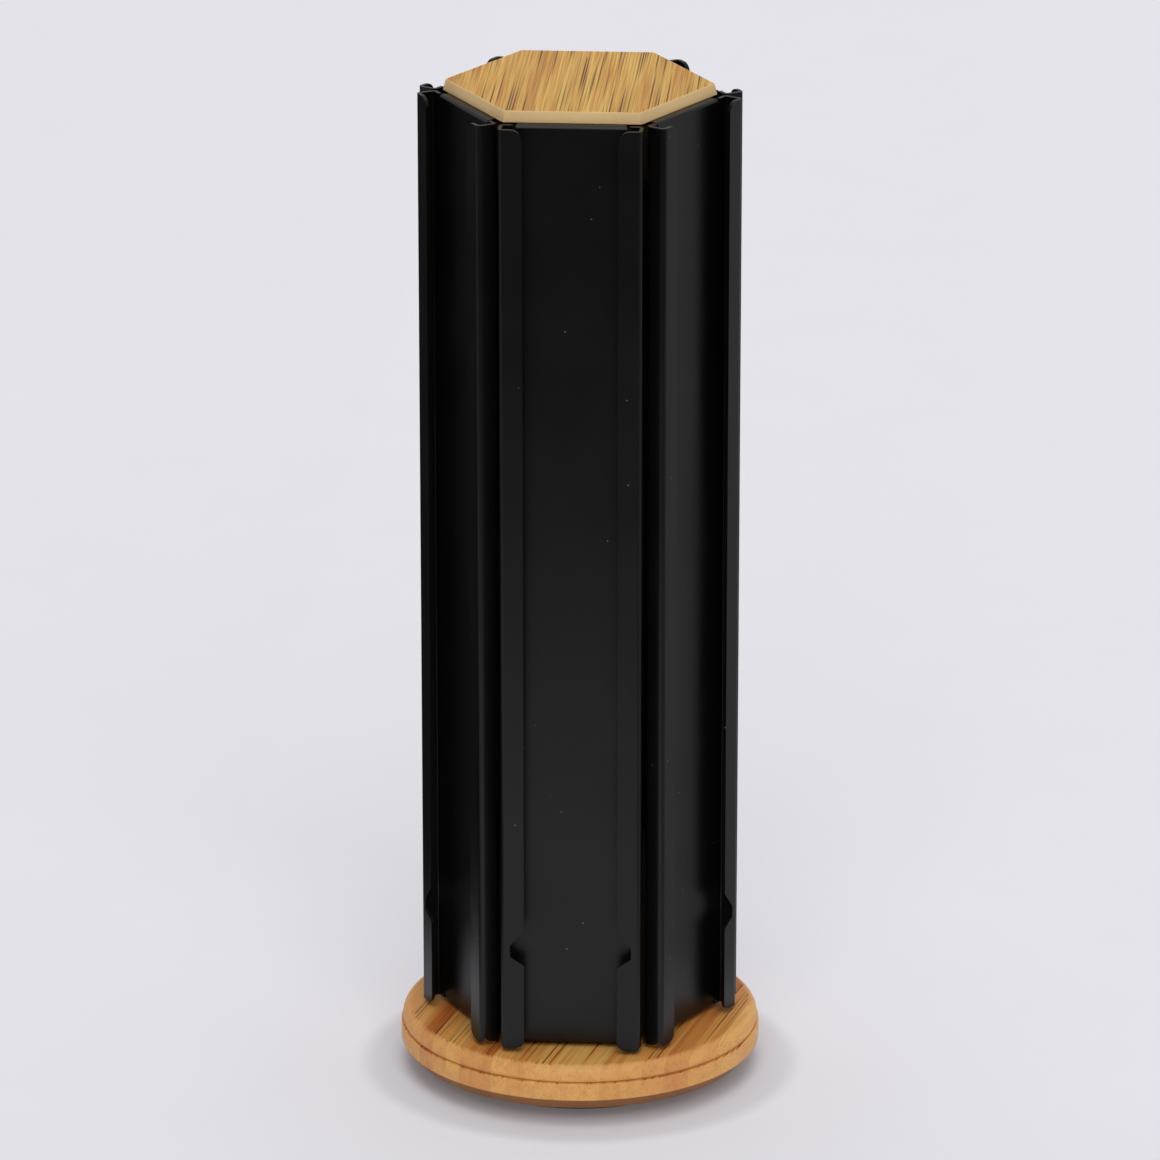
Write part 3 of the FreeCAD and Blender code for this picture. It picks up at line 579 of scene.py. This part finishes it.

    # turned and sawn sides are painted paler than the pressed face, partly for their end grain and
    # partly as painted light, and the underside is darkened as painted shade
    pale_sides_with_painted_light = add_node(tree, "Mix", {FACTOR: (level, 0), COLOUR_A: (streaked, MIXED),
                                  COLOUR_B: linear(side_colour_with_painted_light)}, data_type="RGBA")
    # painted shade: faces that turn downwards are darkened towards dark brown, as the shadow under the
    # rim
    below = add_node(tree, "MapRange", {"Value": (upright, 2), "From Min": -0.2, "From Max": -0.6,
                                        "To Max": 0.8})
    painted_underside_shade = add_node(tree, "Mix", {FACTOR: (below, 0), COLOUR_A: (pale_sides_with_painted_light, MIXED),
                                     COLOUR_B: linear("#7A431E")}, data_type="RGBA")
    seam = add_node(tree, "MapRange", {"Value": (within, 0), "From Min": 0.03, "From Max": 0.0,
                                       "To Max": 0.25})
    seam_shown = add_node(tree, "Math", {0: (seam, 0), 1: (quiet, 0)}, operation="MULTIPLY")
    glued = add_node(tree, "Mix", {FACTOR: (seam_shown, 0), COLOUR_A: (painted_underside_shade, MIXED),
                                   COLOUR_B: linear(fibre)}, data_type="RGBA")
    tree.links.new(glued.outputs[MIXED], shader.inputs["Base Color"])

    satin = add_node(tree, "MapRange", {"Value": (fine, 0), "To Min": 0.38, "To Max": 0.56})
    tree.links.new(satin.outputs[0], shader.inputs["Roughness"])
    relief = add_node(tree, "Math", {0: (fine, 0), 1: (bundle, 0)}, operation="SUBTRACT")
    bump = add_node(tree, "Bump", {"Height": (relief, 0), "Strength": 0.5, "Distance": 0.05 * MM})
    tree.links.new(bump.outputs[0], shader.inputs["Normal"])
    return material


cap_bamboo = bamboo("bamboo_sanded_and_oiled_cap", 90, 6.4, 0.25, 0.26, 0.90,
                    ("#FFD26C", "#DC9232", "#C07B2B", "#6E3F18", "#FFDCA0"))
base_bamboo = bamboo("bamboo_turned_and_oiled_base", 76, 6.2, 0.70, 0.70, 0.50,
                     ("#FFCE78", "#FFAC4C", "#D0702C", "#8A3C12", "#FFC078"))
# painted shade: near-black wood keeps the gaps between the channels dark
block_wood_painted_shade = bamboo("bamboo_block_painted_shade", 90, 8.0, 0.4, 0.8, 0.0,
                      ("#3A2616", "#2E1D10", "#24160B", "#160D06", "#24160B"))
print("materials:", [m.name for m in bpy.data.materials if "bamboo" in m.name])

# %% [markdown]
# ## The bamboo board on top
#
# The board is a hexagon 3.6 mm thick. Its sides lean out towards the foot by 0.8 mm and
# its edges are eased with sandpaper. It is built from closed rings with the same number
# of points in each, joined one to the next, which keeps every edge under control. A
# round seat underneath takes the boss of the block below.

# %% Rings of points, joined into a closed shape
def skin_rings(name, rings):
    """A closed mesh through rings of equal length; the first and last rings are capped."""
    bm = bmesh.new()
    loops = [[bm.verts.new(Vector(p) * MM) for p in ring] for ring in rings]
    for lower, upper in zip(loops, loops[1:]):
        for i in range(len(lower)):
            j = (i + 1) % len(lower)
            bm.faces.new((lower[i], lower[j], upper[j], upper[i]))
    bm.faces.new(loops[0])
    bm.faces.new(list(reversed(loops[-1])))
    bmesh.ops.recalc_face_normals(bm, faces=bm.faces)
    for face in bm.faces:
        face.smooth = True
    mesh = bpy.data.meshes.new(name)
    bm.to_mesh(mesh)
    bm.free()
    return mesh


def hexagon(apothem, level):
    """A ring round a hexagon with two sides square to Y and its upright corners eased."""
    corner = apothem / math.cos(math.radians(30))
    corners = [(corner * math.cos(math.radians(60 * k)), corner * math.sin(math.radians(60 * k)), 0.7)
               for k in range(6)]
    return [(x, y, level) for x, y in ease_corners(corners, steps=5)]


def circle_like(ring, radius, level):
    """A circle whose points lie in the same directions as those of another ring."""
    return [(radius * x / math.hypot(x, y), radius * y / math.hypot(x, y), level) for x, y, z in ring]


# %% The cap
low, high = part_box("cap")
CAP_FOOT, CAP_TOP = low.z / MM, high.z / MM
CAP_FLARE, EASE = 0.8, 0.45
SEAT_RADIUS, SEAT_DEEP = 22.1, 1.8
cap_side = high.y / MM
rings = [hexagon(cap_side - CAP_FLARE - EASE * (1 - math.sin(math.radians(a))),
                 CAP_TOP - EASE * (1 - math.cos(math.radians(a)))) for a in range(0, 91, 18)]
rings += [hexagon(cap_side - 0.03, CAP_FOOT + 0.12), hexagon(cap_side - 0.15, CAP_FOOT)]
seat = circle_like(rings[0], SEAT_RADIUS, CAP_FOOT)
rings += [seat, [(x, y, CAP_FOOT + SEAT_DEEP) for x, y, z in seat]]
cap = add_piece("cap_board", skin_rings("cap_board", rings), cap_bamboo, "carousel", "bamboo_cap",
                "cap")
cap.modifiers.new("even_shading", "WEIGHTED_NORMAL").weight = 90
print("cap:", len(rings), "rings of", len(rings[0]), "points")

# %% [markdown]
# ## The turned base
#
# The disc is turned on a lathe. Half of its outline, from the middle of the top face out
# over the rounded crown, into the fine groove under it, down the rim, in along the
# chamfered foot and back underneath, is spun round the axis. A recess underneath hides
# the turntable.

# %% Half outline of the base
low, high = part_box("base_disc")
RIM, BASE_TOP, BASE_FOOT = high.x / MM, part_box("packing_disc")[0].z / MM, low.z / MM
PLATE_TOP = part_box("turntable_upper_plate")[1].z / MM
CROWN_WIDE, CROWN_HIGH, QUIRK = 3.5, 4.0, 0.6
FOOT_WIDE, FOOT_HIGH = 4.0, 4.3                # the chamfer at the foot
RECESS_INSET = 12.5                            # rim to the recess for the turntable
POCKET_RADIUS, POCKET_DEEP = 8.0, 2.1          # room for the head of the centre rivet
crown_radius = (CROWN_WIDE ** 2 + CROWN_HIGH ** 2) / (2 * CROWN_WIDE)
crown_edge = RIM - QUIRK
crown_foot = BASE_TOP - CROWN_HIGH
crown_top_angle = math.degrees(math.asin(CROWN_HIGH / crown_radius))
profile = [(0, BASE_TOP)]
profile += arc((crown_edge - crown_radius, crown_foot), crown_radius, crown_top_angle, -20, 16)
tuck_x, tuck_z = profile[-1]
profile += ease_corners([(tuck_x - 0.1, tuck_z - 0.1, 0), (tuck_x - 0.4, tuck_z - 0.4, 0.1),
                         (RIM, tuck_z - QUIRK, 0.35), (RIM, BASE_FOOT + FOOT_HIGH, 0.4),
                         (RIM - FOOT_WIDE, BASE_FOOT, 0.6), (RIM - RECESS_INSET, BASE_FOOT, 0.3),
                         (RIM - RECESS_INSET, PLATE_TOP, 0.2), (POCKET_RADIUS, PLATE_TOP, 0.2),
                         (POCKET_RADIUS, PLATE_TOP + POCKET_DEEP, 0.2),
                         (0, PLATE_TOP + POCKET_DEEP, 0)], closed=False, steps=4)

# %% Spin the outline
bm = bmesh.new()
verts = [bm.verts.new((x * MM, 0, z * MM)) for x, z in profile]
edges = [bm.edges.new(pair) for pair in zip(verts, verts[1:])]
bmesh.ops.spin(bm, geom=verts + edges, axis=(0, 0, 1), cent=(0, 0, 0), angle=2 * math.pi, steps=240)
bmesh.ops.remove_doubles(bm, verts=bm.verts, dist=0.001 * MM)
bmesh.ops.recalc_face_normals(bm, faces=bm.faces)
for face in bm.faces:
    face.smooth = True
base_mesh = bpy.data.meshes.new("base_turned")
bm.to_mesh(base_mesh)
bm.free()
base = add_piece("base_turned", base_mesh, base_bamboo, "carousel", "bamboo_base", "base_disc")
base.modifiers.new("even_shading", "WEIGHTED_NORMAL").weight = 60
print("base:", len(base_mesh.polygons), "faces")

# %% [markdown]
# ## The parts that keep their engineering shape
#
# The core blocks, the turntable plates, balls, cage, rivet, screws and the rubber ring are
# right as they come. They only need the finish of their real material.

# %% Zinc-plated steel, rolled
zinc, tree, shader = new_material("steel_zinc_plated_sheet", Metallic=1.0)
place = add_node(tree, "TexCoord")
spangle = add_node(tree, "TexVoronoi", {"Vector": (place, "Object"), "Scale": 1 / (4 * MM)})
tint = add_node(tree, "SeparateColor", {0: (spangle, "Color")})
plated = add_node(tree, "Mix", {FACTOR: (tint, 0), COLOUR_A: linear("#A9ADB0"),
                                COLOUR_B: linear("#C6C9CB")}, data_type="RGBA")
dull = add_node(tree, "MapRange", {"Value": (tint, 1), "To Min": 0.32, "To Max": 0.48})
tree.links.new(plated.outputs[MIXED], shader.inputs["Base Color"])
tree.links.new(dull.outputs[0], shader.inputs["Roughness"])

# %% Bright steel, for the rivet, the balls and the screws
def bright_steel(name, light, dark, smooth, rough, scratch_mm):
    """Steel with fine random scuffs; smooth and rough are its roughness between and in them."""
    material, tree, shader = new_material(name, Metallic=1.0)
    place = add_node(tree, "TexCoord")
    scuff = add_node(tree, "TexNoise", {"Vector": (place, "Object"), "Scale": 1 / (scratch_mm * MM),
                                        "Detail": 4.0})
    metal = add_node(tree, "Mix", {FACTOR: (scuff, 0), COLOUR_A: linear(dark),
                                   COLOUR_B: linear(light)}, data_type="RGBA")
    gloss = add_node(tree, "MapRange", {"Value": (scuff, 0), "From Min": 0.35, "From Max": 0.65,
                                        "To Min": smooth, "To Max": rough})
    bump = add_node(tree, "Bump", {"Height": (scuff, 0), "Strength": 0.2, "Distance": 0.01 * MM})
    tree.links.new(metal.outputs[MIXED], shader.inputs["Base Color"])
    tree.links.new(gloss.outputs[0], shader.inputs["Roughness"])
    tree.links.new(bump.outputs[0], shader.inputs["Normal"])
    return material


rivet_steel = bright_steel("steel_cold_headed_rivet", "#C2C4C6", "#A2A5A8", 0.25, 0.40, 0.8)
ball_steel = bright_steel("steel_polished_bearing_ball", "#D6D8DA", "#C4C7CA", 0.06, 0.14, 0.4)
screw_steel = bright_steel("steel_zinc_plated_screw", "#C9CBC8", "#9FA3A6", 0.22, 0.38, 0.5)

# %% Moulded nylon and rubber
def moulded(name, light, dark, rough, ior, grain_mm):
    """A moulded plastic or rubber with the fine grain of its tool."""
    material, tree, shader = new_material(name, IOR=ior)
    place = add_node(tree, "TexCoord")
    grain = add_node(tree, "TexNoise", {"Vector": (place, "Object"), "Scale": 1 / (grain_mm * MM),
                                        "Detail": 3.0})
    body = add_node(tree, "Mix", {FACTOR: (grain, 0), COLOUR_A: linear(dark),
                                  COLOUR_B: linear(light)}, data_type="RGBA")
    skin = add_node(tree, "MapRange", {"Value": (grain, 0), "To Min": rough - 0.08,
                                       "To Max": rough + 0.08})
    bump = add_node(tree, "Bump", {"Height": (grain, 0), "Strength": 0.3, "Distance": 0.02 * MM})
    tree.links.new(body.outputs[MIXED], shader.inputs["Base Color"])
    tree.links.new(skin.outputs[0], shader.inputs["Roughness"])
    tree.links.new(bump.outputs[0], shader.inputs["Normal"])
    return material


cage_nylon = moulded("nylon_natural_moulded", "#E6E1D2", "#DAD4C2", 0.45, 1.53, 0.6)
foot_rubber = moulded("rubber_moulded_matt", "#2A2A2B", "#1F1F20", 0.80, 1.52, 0.5)

# %% Give every remaining node its finish
FINISHES = {
    "block_wood": block_wood_painted_shade, "zinc_plate": zinc, "rivet_steel": rivet_steel,
    "ball_steel": ball_steel, "cage_nylon": cage_nylon, "screw_steel": screw_steel,
    "foot_rubber": foot_rubber,
}
for part in frame["record"]["subparts"]:
    if part["material_slot"] in FINISHES:
        node = frame["nodes"][part["node"]]
        node.data.materials.clear()
        node.data.materials.append(FINISHES[part["material_slot"]])
        print(part["node"], "->", FINISHES[part["material_slot"]].name)
